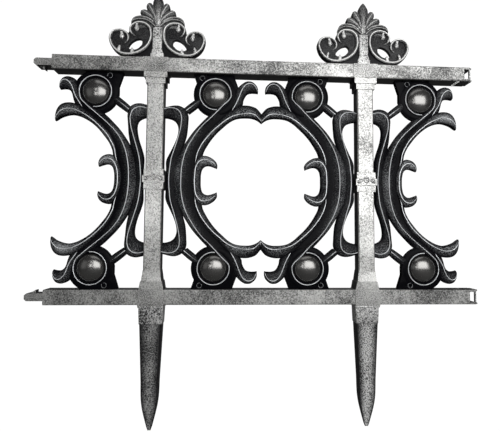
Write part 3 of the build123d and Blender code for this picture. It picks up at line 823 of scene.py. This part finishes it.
@dataclass
class Finial:
    """A palmette on a stem between two C-scrolls, drawn from the post's centre and the top of the rail."""

    disc_level: float = 2.8
    fan_level: float = 3.0
    web_level: float = 2.4
    stem_level: float = 5.5
    stem_half: float = 6.5
    stem_height: float = 47.5
    foot_half: float = 9.3
    foot_height: float = 8.0
    rim: Section = Section(2.9, 5.0, 3.2, 1.0, 1.7, 0.9, 1.8)
    arch: Section = Section(3.0, 5.2, 3.0, 0.8, 0.7)
    lobe: Section = Section(2.4, 4.8, 2.4, 0.5, 0.6, 1.8, 1.8)
    drop: Section = Section(2.6, 5.2, 2.6, 0.3, 0.8, 2.4, 2.4)

    def rim_line(self) -> list[Point]:
        """Centre of the C-scroll's rim, from its upper curl down, out and into its outer curl."""
        return [(32, 34), (35.2, 35.6), (38.3, 39), (39.4, 45), (34.6, 51.6), (26, 54.3), (17.2, 52.5), (11.2, 47),
                (9.2, 39), (9.8, 29.5), (14.5, 19.5), (25, 10.7), (37.5, 6.5), (50.5, 7.2), (60.5, 13.7), (66.6, 24),
                (67.6, 32.5), (64.4, 38.8), (57.5, 42), (49.2, 41), (43.3, 36.5), (41.2, 31), (42.7, 25.5),
                (47, 22.6)]

    def arch_line(self) -> list[Point]:
        """Centre of the arch from the stem's head over the C-scroll."""
        return [(2.2, 47.4), (5.5, 50.4), (10.3, 54.6), (17.6, 58.2), (25.6, 59.2), (33, 57.6), (38, 53.8)]

    def disc_outline(self) -> list[Point]:
        """Outline of the C-scroll's dished floor."""
        outside = smooth_line([(7.2, 44), (8.2, 28.5), (15, 16.5), (25.2, 8.4), (38, 4.9), (50, 5.4), (60.8, 11),
                               (68, 23.5), (69, 34), (65, 41), (58, 43.9), (50.5, 43.3), (43, 37.5)], 2.5)
        return outside + smooth_line([(40.6, 41.5), (40.4, 47.5), (35.5, 53), (26, 56), (14.3, 52.4), (7.6, 45)], 2.5)

    def disc_hole(self) -> list[Point]:
        """Outline of the opening through the C-scroll."""
        return smooth_line([(22.4, 22), (22, 27), (24.6, 30), (30, 29.4), (36, 26), (40, 21.5), (41.9, 16.4),
                            (36, 13.8), (28.5, 15.6), (22.8, 21.2)], 1.5)

    def fan_outline(self) -> list[Point]:
        """Outline of the palmette's back, a little inside its lobes."""
        half = [(0, 96.6), (4.6, 91.8), (7, 84.6), (8, 82), (12, 83.6), (15, 80), (15.8, 73.8), (20, 73.2),
                (23.6, 71), (24.8, 64.2), (31, 62.4), (35.8, 59.6), (37.6, 51.5), (30, 47), (0, 47)]
        return half + [(-a, b) for a, b in reversed(half[1:-1])]

    def stem_outline(self) -> list[Point]:
        """Outline of the stem with its flared foot."""
        half = [(self.stem_half, self.stem_height), (self.stem_half, 16), (7.1, 13), (8.4, 9.6),
                (self.foot_half, self.foot_height), (self.foot_half, 0)]
        return half + [(-a, b) for a, b in reversed(half)]

    def middle_lobe(self) -> list[Row]:
        """Stations of the pointed lobe in the middle of the palmette."""
        return [(-a, b, 0, b, a, b, scale, line, rub_and_sheen) for a, b, scale, line, rub_and_sheen in (
            (2.6, 49.6, 0.85, 0.5, 1.2), (5.2, 53, 0.95, 0.6, 1.2), (6, 58, 0.98, 0.6, 1.2), (3.9, 65, 1, 0.6, 0.9),
            (4.3, 71, 1, 0.55, 0.6), (6, 77, 1.02, 0.55, 0.4), (7.7, 83, 1.02, 0.5, 0.3), (7.2, 87.5, 1, 0.5, 0.25),
            (5, 91.8, 0.95, 0.45, 0.25), (2.3, 95.6, 0.85, 0.45, 0.3), (0.3, 97.4, 0.6, 0.4, 0.3))]

    def side_lobes(self) -> list[list[Row]]:
        """Stations of the three rounded lobes on the right, from the top one down."""
        return [
            [(2.2, 60, 2.9, 59.6, 4, 59.4, 0.8, 0.4, 1.1), (4.2, 69, 5.8, 67.6, 8, 66.4, 0.97, 0.7, 0.7),
             (6.4, 76.5, 9, 73.6, 12.4, 71.4, 1, 0.8, 0.4), (8.4, 82, 11.6, 78, 15.6, 74.2, 1, 0.8, 0.3),
             (10.4, 84.4, 13.6, 81, 17, 77.4, 0.95, 0.75, 0.25), (13, 84.8, 15, 83, 16.8, 80.8, 0.75, 0.6, 0.2),
             (15, 84, 15.4, 83.7, 15.8, 83.3, 0.5, 0.4, 0.2)],
            [(4, 58.6, 4.8, 58.2, 5.6, 57.6, 0.8, 0.4, 1.1), (8.6, 65.6, 10.4, 64, 12.2, 62.6, 0.97, 0.7, 0.7),
             (13, 71, 15.6, 68.2, 18.6, 65, 1, 0.8, 0.4), (17.2, 74, 20, 70.6, 23.6, 66.2, 1, 0.8, 0.3),
             (20.4, 74.6, 22.8, 72, 25.8, 68.6, 0.92, 0.75, 0.25), (23, 74, 24.2, 72.9, 25.4, 71.4, 0.7, 0.6, 0.2),
             (24.4, 73, 24.5, 72.8, 24.7, 72.6, 0.5, 0.4, 0.2)],
            [(5.8, 57.2, 6.6, 56.4, 7.6, 55.2, 0.8, 0.4, 1.1), (13, 62.2, 14.6, 60.9, 16.4, 59.4, 0.97, 0.7, 0.7),
             (19.5, 64.6, 22.3, 62.9, 25.6, 61, 1, 0.8, 0.35), (26.6, 64.8, 29, 62.6, 30.4, 60.2, 1, 0.7, 0.25),
             (32.4, 63.5, 33.1, 60.6, 33.2, 58, 0.97, 0.6, 0.2), (36.2, 60.8, 36, 58, 35.6, 55.8, 0.9, 0.6, 0.2),
             (38.3, 56.6, 37.7, 54.8, 36.8, 53.6, 0.8, 0.6, 0.2), (38.6, 51.4, 38.2, 51, 37.6, 51, 0.5, 0.4, 0.2)],
        ]

    def drops(self) -> list[list[Row]]:
        """Stations of the two pearls with their necks and the two cusps of the rim."""
        pearl = ((0.0, 2.1, 0.9), (0.3, 2.1, 0.9), (0.46, 2.8, 0.97), (0.66, 3.5, 1.05), (0.88, 2.87, 0.97),
                 (1.0, 1.575, 0.75))
        cusp = ((0.0, 3.8, 0.95), (0.35, 2.6, 1.0), (0.75, 2.1, 0.97), (1.0, 1.0, 0.8))
        out = []
        for form, start, end in ((pearl, (30.6, 52), (29.4, 41.6)), (pearl, (51.8, 39.6), (50.2, 28.9)),
                                 (cusp, (55.8, 10.5), (53.4, 19)), (cusp, (36, 7.5), (35.7, 16))):
            run = Vector(end) - Vector(start)
            aside = Vector((-run.y, run.x)).normalized() if form is pearl else Vector((-1, 0))
            places = [Vector(start) + run * share for share, _, _ in form]
            out.append([(*(place + aside * half), *place, *(place - aside * half), scale, 1, 2)
                        for place, (_, half, scale) in zip(places, form)])
        return out

    def draw_side(self, art: Relief, sign: int) -> None:
        """Draws one half of the finial; sign is -1 for the left one."""

        def flip(rows: list[Row]) -> list[Row]:
            """Turns stations over to this half."""
            return [(sign * a, b, sign * c, d, sign * e, f, *rest) for a, b, c, d, e, f, *rest in rows]

        def turn(points: list[Point]) -> list[Point]:
            """Turns points over to this half."""
            return [(sign * a, b) for a, b in points]

        art.plate([turn(self.disc_outline()), turn(self.disc_hole())], self.disc_level, 0.5, 0.06)
        web = [(6, 0), (44, 0), (50, 6.5), (22, 14), (9, 30), (6, 30)]
        art.plate([turn(web)], self.web_level, 0.3)
        rim = beside_line(self.rim_line(), [3.2, 4.0, 3.0], [1.5, 2.1, 1.5], 1.5, [0.9, 1.0, 0.9], 0.6)
        art.band(flip(rim), self.rim, 1.5)
        arch = beside_line(self.arch_line(), [1.1, 1.3, 1.0], [1.1, 1.3, 1.0], 1.5, [1.0, 1.0, 0.7], 0.4)
        art.band(flip(arch), self.arch, 1.5)
        for rows in self.side_lobes():
            art.band(flip(rows), self.lobe, 1.2)
        for rows in self.drops():
            art.band(flip(rows), self.drop, 0.8)

    def build(self, post: Post, finish: bpy.types.Material) -> None:
        """Builds a finial.

        Args:
            post: The post that it stands over.
            finish: Its material.
        """
        node = post.name() + "_finial"
        art = Relief()
        art.plate([self.fan_outline()], self.fan_level, 0.4, 0.25)
        art.plate([self.stem_outline()], self.stem_level, 1.0, 1.8)
        art.band(self.middle_lobe(), self.lobe, 1.2)
        for sign in (-1, 1):
            self.draw_side(art, sign)
        piece = art.build(node + "_casting", (post.along(), post.layout.rail_top), Side.RIGHT)
        finish_piece(piece, finish, Slot.SILVER, node)


@dataclass
class Boss:
    """A domed boss in a ring, the same on both faces."""

    radius: float = 20.0
    half_depth: float = 12.5
    segments: int = 64
    rings: int = 28
    fullness: float = 0.94

    def build(self, node: str, finish: bpy.types.Material) -> None:
        """Builds a boss from a ball that is flattened to its dome.

        Args:
            node: The node that it stands for.
            finish: Its material.
        """
        low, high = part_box(node)
        centre = (low + high) / 2
        select_nothing()
        bpy.ops.mesh.primitive_uv_sphere_add(segments=self.segments, ring_count=self.rings, radius=self.radius * MM)
        piece = bpy.context.active_object
        piece.name = node + "_dome"
        bpy.ops.object.mode_set(mode="EDIT")
        bpy.ops.mesh.select_all(action="SELECT")
        bpy.ops.transform.rotate(value=math.pi / 2, orient_axis="X", center_override=(0.0, 0.0, 0.0))
        bpy.ops.object.mode_set(mode="OBJECT")
        for vertex in piece.data.vertices:
            share = min(1.0, abs(vertex.co.y) / (self.radius * MM))
            vertex.co.y = math.copysign(1.0, vertex.co.y) * MM * self.half_depth * share**self.fullness
            vertex.co += centre
        bpy.ops.object.shade_smooth()
        finish_piece(piece, finish, Slot.GLOSS, node)


@dataclass
class Casing:
    """A moulded rail or post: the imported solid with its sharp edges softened."""

    edge_round: float = 0.45
    sharp: float = 25.0
    flat: float = 1.0
    weld: float = 0.000002
    bevel_steps: int = 2
    flat_weight: int = 100

    def build(self, node: str, finish: bpy.types.Material) -> None:
        """Builds the softened piece.

        Args:
            node: The node that it stands for.
            finish: Its material.
        """
        piece = bpy.data.objects.new(node + "_casing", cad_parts[node].data.copy())
        bpy.context.scene.collection.objects.link(piece)
        make_active(piece)
        bpy.ops.object.mode_set(mode="EDIT")
        bpy.ops.mesh.select_all(action="SELECT")
        bpy.ops.mesh.remove_doubles(threshold=self.weld)
        bpy.ops.mesh.dissolve_limited(angle_limit=math.radians(self.flat))
        bpy.ops.mesh.normals_make_consistent(inside=False)
        bpy.ops.object.mode_set(mode="OBJECT")
        bpy.ops.object.shade_smooth()
        soft = piece.modifiers.new("edge_round", "BEVEL")
        soft.width = self.edge_round * MM
        soft.segments = self.bevel_steps
        soft.limit_method = "ANGLE"
        soft.angle_limit = math.radians(self.sharp)
        bpy.ops.object.modifier_apply(modifier=soft.name)
        flat = piece.modifiers.new("flat_faces", "WEIGHTED_NORMAL")
        flat.mode = "FACE_AREA"
        flat.weight = self.flat_weight
        bpy.ops.object.modifier_apply(modifier=flat.name)
        finish_piece(piece, finish, Slot.SILVER, node)


@dataclass
class Stake:
    """A ground stake: a plain block below the rail, then a fluted blade down to a blunt tip."""

    rub_and_sheen: float
    lip_half: float = 17.6
    lip_height: float = 2.4
    top_half: float = 17.1
    top_level: float = 8.9
    block_height: float = 25.0
    block_foot_half: float = 16.0
    lip_inset: float = 0.05
    edge_round: float = 0.8
    flute: Section = Section(8.5, 5.2, 8.5, 0.0, left_full=1.5, right_full=1.5,
                             flank=(0.0, 0.03, 0.07, 0.12, 0.2, 0.32, 0.48, 0.66, 0.84))

    def blade_rows(self) -> list[Row]:
        """Stations of the blade: half width and share of the depth at each height below the top."""
        return [(-half, -drop, 0, -drop, half, -drop, scale, 0, self.rub_and_sheen) for drop, half, scale in (
            (24, 15.1, 1.0), (60, 13.6, 0.9), (100, 11.9, 0.81), (133, 10.5, 0.7), (140, 9.5, 0.62),
            (150, 7.4, 0.5), (160, 5.0, 0.36), (167, 3.2, 0.27), (170.6, 1.9, 0.2))]

    def build(self, post: Post, finish: bpy.types.Material) -> None:
        """Builds a stake.

        Args:
            post: The post that it stands under.
            finish: Its material.
        """
        node = post.name() + "_stake"
        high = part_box(node)[1]
        art = Relief()
        lip, block = ([(-low_half, -low), (low_half, -low), (top_half, -top), (-top_half, -top)]
                      for low_half, low, top_half, top in (
                          (self.lip_half, self.lip_height, self.lip_half, 0),
                          (self.block_foot_half, self.block_height, self.top_half, 1)))
        art.plate([lip], high.y / MM - self.lip_inset, self.edge_round / 2, 1.2)
        art.plate([block], self.top_level, self.edge_round, 0.9)
        art.band(self.blade_rows(), self.flute, 4.0)
        piece = art.build(node + "_blade", (post.along(), high.z / MM), Side.RIGHT)
        finish_piece(piece, finish, Slot.SILVER, node)


@dataclass
class Rosette:
    """The small ring and leaves moulded on the collar at the middle of a post, the same on both faces."""

    rise: float = 2.8
    ring: Section = Section(10.9, 11.9, 10.9, 0.4, 0.4)
    leaf: Section = Section(10.9, 11.8, 10.9, 0.4, 0.4)

    def build(self, post: Post, finish: bpy.types.Material) -> None:
        """Builds the rosette of one post.

        Args:
            post: The post that it lies on.
            finish: Its material.
        """
        art = Relief()
        rings = zip(*(circle((0.0, 0.0), radius) for radius in (2.6, 3.7, 4.8)))
        art.band([(*inner, *crest, *outer, 1, 0.6, 1.6) for inner, crest, outer in rings], self.ring, 0.8, closed=True)
        art.plate([circle((0.0, 0.0), 1.5)[:-1]], 11.6, 0.6, 1.5)
        for sign in (-1, 1):
            art.band([(sign * a, b + half, sign * a, b, sign * a, b - half, scale, 0.5, 1.6) for a, b, half, scale in (
                (4.6, -0.6, 0.9, 0.97), (7, -1, 2.3, 1.0), (10, -2, 3.2, 1.0), (12.6, -2.8, 2.2, 0.98),
                (14, -3, 0.8, 0.94))], self.leaf, 0.8)
        piece = art.build(post.name() + "_rosette", (post.along(), post.layout.middle + self.rise), Side.RIGHT)
        finish_piece(piece, finish, Slot.SILVER)


@dataclass(frozen=True)
class SoftBox:
    """A rectangular lamp: where it stands and looks to in metres, its width and height, and its watts."""

    name: str
    place: Place
    aim: Place
    size: Point
    power: float

    def hang(self) -> None:
        """Adds the lamp, turned to its aim."""
        data = bpy.data.lights.new(self.name, "AREA")
        data.shape = "RECTANGLE"
        data.size, data.size_y = self.size
        data.energy = self.power
        lamp = bpy.data.objects.new(self.name, data)
        bpy.context.scene.collection.objects.link(lamp)
        turn = (Vector(self.aim) - Vector(self.place)).to_track_quat("-Z", "Y").to_matrix().to_4x4()
        lamp.matrix_world = Matrix.Translation(self.place) @ turn


@dataclass
class Studio:
    """Plain pale floor and backdrop in metres, soft lights, and the camera in millimetres and degrees."""

    floor_height: float
    half_width: float = 7.0
    front: float = -3.0
    depth: float = 9.0
    bend_start: float = 5.0
    bend_length: float = 2.0
    bend_radius: float = 1.3
    wall_slope: float = 2.5
    glow: float = 1.05
    dim: float = 0.045
    lens: float = 25.2
    sensor: float = 36.0
    eye: Place = (-41.35, -504.63, 98.71)
    yaw: float = 2.929
    pitch: float = 3.066
    roll: float = 0.456
    boxes: tuple[SoftBox, ...] = (
        SoftBox("window_box", (0.6, -1.27, 0.59), (0.6, 0.0, 0.59), (1.5, 1.05), 25.0),
        SoftBox("left_low_box", (-0.44, -1.27, 0.27), (-0.44, 0.0, 0.27), (0.18, 0.30), 1.3),
        SoftBox("left_high_box", (-0.44, -1.27, 0.76), (-0.44, 0.0, 0.76), (0.18, 0.14), 0.6),
        SoftBox("fill_box", (-1.3, -1.1, 0.4), (-0.05, 0.0, 0.15), (0.8, 1.0), 1.0),
        SoftBox("top_box", (0.1, -0.3, 1.5), (0.0, 0.0, 0.2), (1.4, 0.6), 3.0),
        SoftBox("back_box", (0.0, 1.5, 1.9), (0.0, 0.0, 0.1), (2.0, 0.8), 34.0))

    def backdrop(self) -> None:
        """Makes the floor and the wall behind as one swept sheet."""
        select_nothing()
        bpy.ops.mesh.primitive_grid_add(x_subdivisions=2, y_subdivisions=40, size=1.0)
        sheet = bpy.context.active_object
        sheet.name = "studio_floor"
        z = self.floor_height * MM
        for vertex in sheet.data.vertices:
            x = vertex.co.x * 2 * self.half_width
            run = (vertex.co.y + 0.5) * self.depth
            past = max(run - self.bend_start, 0.0)
            turn = min(past / self.bend_length, 1.0) * math.pi / 2
            lift = max(past - self.bend_length, 0.0) * self.wall_slope
            vertex.co = (x, self.front + min(run, self.bend_start) + math.sin(turn) * self.bend_radius,
                         z + (1 - math.cos(turn)) * self.bend_radius + lift)
        make_active(sheet)
        bpy.ops.object.shade_smooth()
        material = bpy.data.materials.new("pale_sheet")
        material.use_nodes = True
        kit = Shader(material.node_tree)
        shader = material.node_tree.nodes["Principled BSDF"]
        kit.feed(shader, Base_Color=(0.14, 0.14, 0.14, 1.0), Roughness=0.9, Specular_IOR_Level=0.0)
        glow = kit.add("ShaderNodeEmission")
        kit.feed(glow, Color=WHITE, Strength=self.glow)
        seen = kit.add("ShaderNodeLightPath").outputs["Is Camera Ray"]
        both = kit.add("ShaderNodeMixShader")
        kit.join(seen, both.inputs[0])
        kit.join(shader.outputs[0], both.inputs[1])
        kit.join(glow.outputs[0], both.inputs[2])
        kit.join(both.outputs[0], material.node_tree.nodes["Material Output"].inputs["Surface"])
        sheet.data.materials.append(material)

    def lights(self) -> None:
        """Sets the soft boxes and the dim surroundings."""
        world = bpy.context.scene.world or bpy.data.worlds.new("World")
        bpy.context.scene.world = world
        world.use_nodes = True
        kit = Shader(world.node_tree)
        seen = kit.add("ShaderNodeLightPath").outputs["Is Camera Ray"]
        kit.feed(world.node_tree.nodes["Background"], Color=WHITE,
                 Strength=kit.ramp(seen, 0.0, 1.0, self.dim, self.glow))
        for box in self.boxes:
            box.hang()

    def camera(self) -> None:
        """Puts the camera where the photograph was taken."""
        data = bpy.data.cameras.new("photo_camera")
        data.lens = self.lens
        data.sensor_width = self.sensor
        data.clip_start = 0.01
        yaw, pitch, roll = (math.radians(v) for v in (self.yaw, self.pitch, self.roll))
        ahead = Vector((math.sin(yaw) * math.cos(pitch), math.cos(yaw) * math.cos(pitch), math.sin(pitch)))
        right = Vector((math.cos(yaw), -math.sin(yaw), 0.0))
        up = right.cross(ahead)
        turned = math.cos(roll) * right + math.sin(roll) * up
        upright = -math.sin(roll) * right + math.cos(roll) * up
        camera = bpy.data.objects.new("photo_camera", data)
        bpy.context.scene.collection.objects.link(camera)
        turn = Matrix((turned, upright, -ahead)).transposed()
        camera.matrix_world = Matrix.Translation([v * MM for v in self.eye]) @ turn.to_4x4()
        bpy.context.scene.camera = camera
        bpy.context.scene.view_settings.view_transform = "Standard"


def main() -> None:
    """Builds every sub-assembly in order."""
    logging.basicConfig(level=logging.INFO)
    speckle_group()
    silver = Finish("brushed_silver", silver=(0.60, 0.60, 0.585, 1.0), coverage=0.47, metallic=0.72,
                    blotch_amount=0.5, dark=(0.02, 0.02, 0.02, 1.0)).flat_faces()
    # The posts' silver is paler and fuller than the rails': painted highlight for the glare of the light on the posts,
    # which are the same silver as the rails.
    post_highlight_silver = Finish("pale_silver", silver=(0.57, 0.57, 0.555, 1.0), coverage=0.54, silver_rough=0.3, metallic=0.6,
                  dark=(0.02, 0.02, 0.02, 1.0)).flat_faces()
    crest = Finish("rub_and_sheenbed_finial", dark=(0.006, 0.006, 0.007, 1.0), silver=(0.68, 0.68, 0.67, 1.0), coverage=0.48,
                   softness=0.14, metallic=0.25, shine=0.12).raised_lines()
    # The scrolls' rubbed silver is partly painted sheen along the S ridges and on the leaves.
    satin = Finish("satin_black", dark=(0.003, 0.003, 0.004, 1.0), silver=(0.80, 0.82, 0.84, 1.0), coverage=0.38,
                   softness=0.2, dark_rough=0.26, grain_scale=700.0, metallic=0.25, shine=0.025).raised_lines()
    gloss = Finish("gloss_black", dark=(0.17, 0.167, 0.162, 1.0), coverage=0.2, softness=0.15, dark_rough=0.24,
                   dark_metallic=0.9, bump=0.05, silver=(0.2, 0.2, 0.195, 1.0), metallic=0.9,
                   silver_rough=0.22).flat_faces()
    layout = Layout.read()
    studio = Studio(layout.floor - FLOOR_GAP)
    studio.backdrop()
    studio.lights()
    studio.camera()
    for node in ("top_rail", "bottom_rail", "left_post", "right_post"):
        # Posts take the paler silver with its painted highlight; rails take the plain silver.
        Casing().build(node, silver if "rail" in node else post_highlight_silver)
        log.info("built %s", node)
    # The right stake gets heavier rubbed silver than the left one: painted highlight for the light falling from the
    # right; the two stakes are alike.
    for side, rub_and_sheen in ((Side.LEFT, 0.6), (Side.RIGHT, 1.6)):
        post = Post(layout, side)
        Finial().build(post, crest)
        log.info("built %s finial", post.name())
        Stake(rub_and_sheen).build(post, crest)
        log.info("built %s stake", post.name())
        Rosette().build(post, crest)
        log.info("built %s rosette", post.name())
        for joined in (False, True):
            panel = ScrollPanel(joined)
            panel.build(post, satin)
            log.info("built scroll %s", panel.place(post))
            for level in ("top", "bottom"):
                node = f"boss_{panel.place(post)}_{level}"
                Boss().build(node, gloss)
                log.info("built %s", node)


if __name__ == "__main__":
    main()
